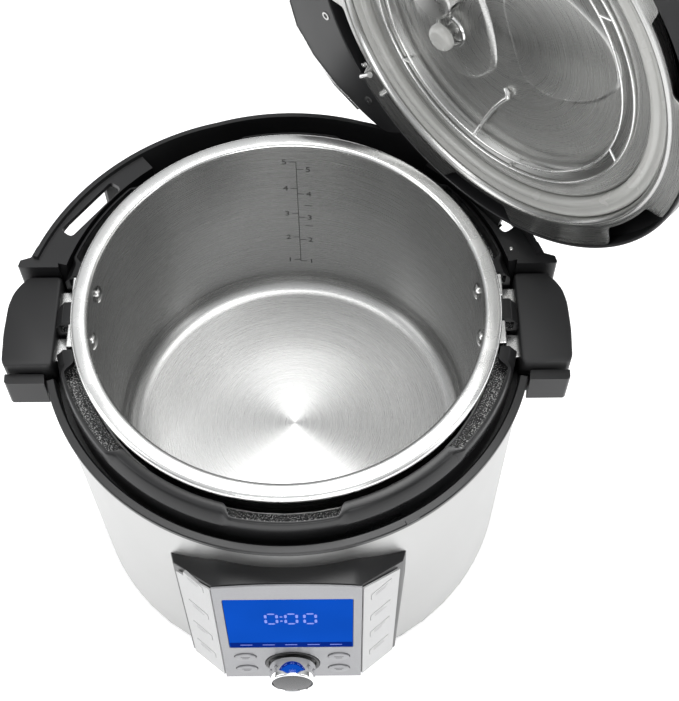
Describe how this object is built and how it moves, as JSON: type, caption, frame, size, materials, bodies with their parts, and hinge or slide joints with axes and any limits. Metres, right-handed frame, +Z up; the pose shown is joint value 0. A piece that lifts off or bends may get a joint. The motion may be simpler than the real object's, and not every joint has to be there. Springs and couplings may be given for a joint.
{
  "type": "electric pressure cooker",
  "caption": "Countertop electric pressure cooker with a steel lift-out pot, a front display panel with dial and keys, and its round locking lid standing upright in a side slot.",
  "frame": {"origin": "on the cooker's vertical axis, at the surface that its feet stand on", "axes": "+Z up, -Y towards the front with the control panel, +X to the right seen from the front"},
  "size_m": [0.386, 0.3692, 0.483],
  "materials": {
    "brushed_steel": "brushed",
    "polished_steel": "polished",
    "black_plastic": "fine texture",
    "black_silicone": "matte",
    "foot_rubber": "matte",
    "cast_aluminium": "cast",
    "circuit_board": "satin",
    "silver_overlay": "satin",
    "light_overlay": "satin",
    "display_window": "glossy",
    "chrome": "polished",
    "dark_grey_plastic": "satin",
    "clear_silicone": "glossy",
    "smoked_plastic": "glossy"
  },
  "bodies": {
    "base": {"base_tray": "black_plastic", "foot_rear_left": "foot_rubber", "foot_front_left": "foot_rubber", "foot_rear_right": "foot_rubber", "foot_front_right": "foot_rubber", "outer_shell": "brushed_steel", "power_board": "circuit_board", "inner_housing": "brushed_steel", "heating_plate": "cast_aluminium", "sensor_bracket": "brushed_steel", "sensor_spring": "brushed_steel", "top_ring": "black_plastic", "locking_flange": "black_plastic", "power_inlet": "black_plastic", "cup_holder": "black_plastic", "panel_bezel": "black_plastic", "panel_fascia": "silver_overlay", "lcd_window": "display_window", "control_board": "circuit_board", "wing_left": "light_overlay", "wing_right": "light_overlay"},
    "sensor": {"thermal_sensor": "cast_aluminium"},
    "cup": {"condensation_cup": "smoked_plastic"},
    "pot": {"inner_pot": "polished_steel", "bracket_left": "brushed_steel", "bracket_right": "brushed_steel", "grip_left": "black_silicone", "grip_right": "black_silicone", "rivet_right_rear": "polished_steel", "rivet_right_front": "polished_steel", "rivet_left_rear": "polished_steel", "rivet_left_front": "polished_steel"},
    "dial_stem": {"dial_shaft": "brushed_steel"},
    "dial": {"dial_knob": "chrome", "dial_cap": "dark_grey_plastic"},
    "lid": {"lid_cover": "black_plastic", "lid_pan": "brushed_steel", "sealing_ring": "clear_silicone", "ring_rack": "polished_steel", "lid_handle": "black_plastic", "lid_trim_right": "silver_overlay", "lid_trim_left": "silver_overlay", "anti_block_shield": "polished_steel"},
    "float": {"float_valve": "polished_steel", "float_cap": "clear_silicone"},
    "valve": {"steam_valve": "black_plastic"},
    "release": {"release_button": "dark_grey_plastic"},
    "lock": {"lock_pin": "polished_steel"},
    "button_upper_left": {"button_upper_left": "silver_overlay"},
    "button_upper_right": {"button_upper_right": "silver_overlay"},
    "button_lower_left": {"button_lower_left": "silver_overlay"},
    "button_lower_right": {"button_lower_right": "silver_overlay"},
    "key_left_1": {"key_left_1": "light_overlay"},
    "key_left_2": {"key_left_2": "light_overlay"},
    "key_left_3": {"key_left_3": "light_overlay"},
    "key_left_4": {"key_left_4": "light_overlay"},
    "key_right_1": {"key_right_1": "light_overlay"},
    "key_right_2": {"key_right_2": "light_overlay"},
    "key_right_3": {"key_right_3": "light_overlay"},
    "key_right_4": {"key_right_4": "light_overlay"}
  },
  "joints": [
    {"name": "pot_lift", "type": "slide", "parent": "base", "child": "pot", "axis": [0, 0, 1], "range_m": [0, 0.2]},
    {"name": "lid_lift", "type": "slide", "parent": "base", "child": "lid", "axis": [0, 0, 1], "range_m": [0, 0.12]},
    {"name": "sensor_plunge", "type": "slide", "parent": "base", "child": "sensor", "axis": [0, 0, 1], "range_m": [-0.003, 0], "stiffness_N_per_m": 1500, "springref_m": 0.002, "deforming": ["sensor_spring"]},
    {"name": "cup_pull", "type": "slide", "parent": "base", "child": "cup", "axis": [0, 1, 0], "range_m": [0, 0.06]},
    {"name": "dial_press", "type": "slide", "parent": "base", "child": "dial_stem", "axis": [0, 0.9945, -0.1045], "range_m": [0, 0.0015], "stiffness_N_per_m": 1500},
    {"name": "dial_turn", "type": "hinge", "parent": "dial_stem", "child": "dial", "pos_m": [0, -0.15899, 0.07562], "axis": [0, -0.9945, 0.1045], "continuous": true},
    {"name": "float_rise", "type": "slide", "parent": "lid", "child": "float", "axis": [0.7071, 0.7071, 0], "range_m": [0, 0.006]},
    {"name": "valve_lift", "type": "slide", "parent": "lid", "child": "valve", "axis": [0.7071, 0.7071, 0], "range_m": [0, 0.004]},
    {"name": "release_press", "type": "slide", "parent": "lid", "child": "release", "axis": [-0.7071, -0.7071, 0], "range_m": [0, 0.003], "stiffness_N_per_m": 600},
    {"name": "lock_retract", "type": "slide", "parent": "lid", "child": "lock", "axis": [0.5, -0.5, 0.7071], "range_m": [0, 0.003], "stiffness_N_per_m": 600},
    {"name": "button_upper_left_press", "type": "slide", "parent": "base", "child": "button_upper_left", "axis": [0, 0.9945, -0.1045], "range_m": [0, 0.001], "stiffness_N_per_m": 900},
    {"name": "button_upper_right_press", "type": "slide", "parent": "base", "child": "button_upper_right", "axis": [0, 0.9945, -0.1045], "range_m": [0, 0.001], "stiffness_N_per_m": 900},
    {"name": "button_lower_left_press", "type": "slide", "parent": "base", "child": "button_lower_left", "axis": [0, 0.9945, -0.1045], "range_m": [0, 0.001], "stiffness_N_per_m": 900},
    {"name": "button_lower_right_press", "type": "slide", "parent": "base", "child": "button_lower_right", "axis": [0, 0.9945, -0.1045], "range_m": [0, 0.001], "stiffness_N_per_m": 900},
    {"name": "key_left_1_press", "type": "slide", "parent": "base", "child": "key_left_1", "axis": [0.6613, 0.746, -0.0784], "range_m": [0, 0.0006], "stiffness_N_per_m": 900},
    {"name": "key_left_2_press", "type": "slide", "parent": "base", "child": "key_left_2", "axis": [0.6613, 0.746, -0.0784], "range_m": [0, 0.0006], "stiffness_N_per_m": 900},
    {"name": "key_left_3_press", "type": "slide", "parent": "base", "child": "key_left_3", "axis": [0.6613, 0.746, -0.0784], "range_m": [0, 0.0006], "stiffness_N_per_m": 900},
    {"name": "key_left_4_press", "type": "slide", "parent": "base", "child": "key_left_4", "axis": [0.6613, 0.746, -0.0784], "range_m": [0, 0.0006], "stiffness_N_per_m": 900},
    {"name": "key_right_1_press", "type": "slide", "parent": "base", "child": "key_right_1", "axis": [-0.6613, 0.746, -0.0784], "range_m": [0, 0.0006], "stiffness_N_per_m": 900},
    {"name": "key_right_2_press", "type": "slide", "parent": "base", "child": "key_right_2", "axis": [-0.6613, 0.746, -0.0784], "range_m": [0, 0.0006], "stiffness_N_per_m": 900},
    {"name": "key_right_3_press", "type": "slide", "parent": "base", "child": "key_right_3", "axis": [-0.6613, 0.746, -0.0784], "range_m": [0, 0.0006], "stiffness_N_per_m": 900},
    {"name": "key_right_4_press", "type": "slide", "parent": "base", "child": "key_right_4", "axis": [-0.6613, 0.746, -0.0784], "range_m": [0, 0.0006], "stiffness_N_per_m": 900}
  ]
}
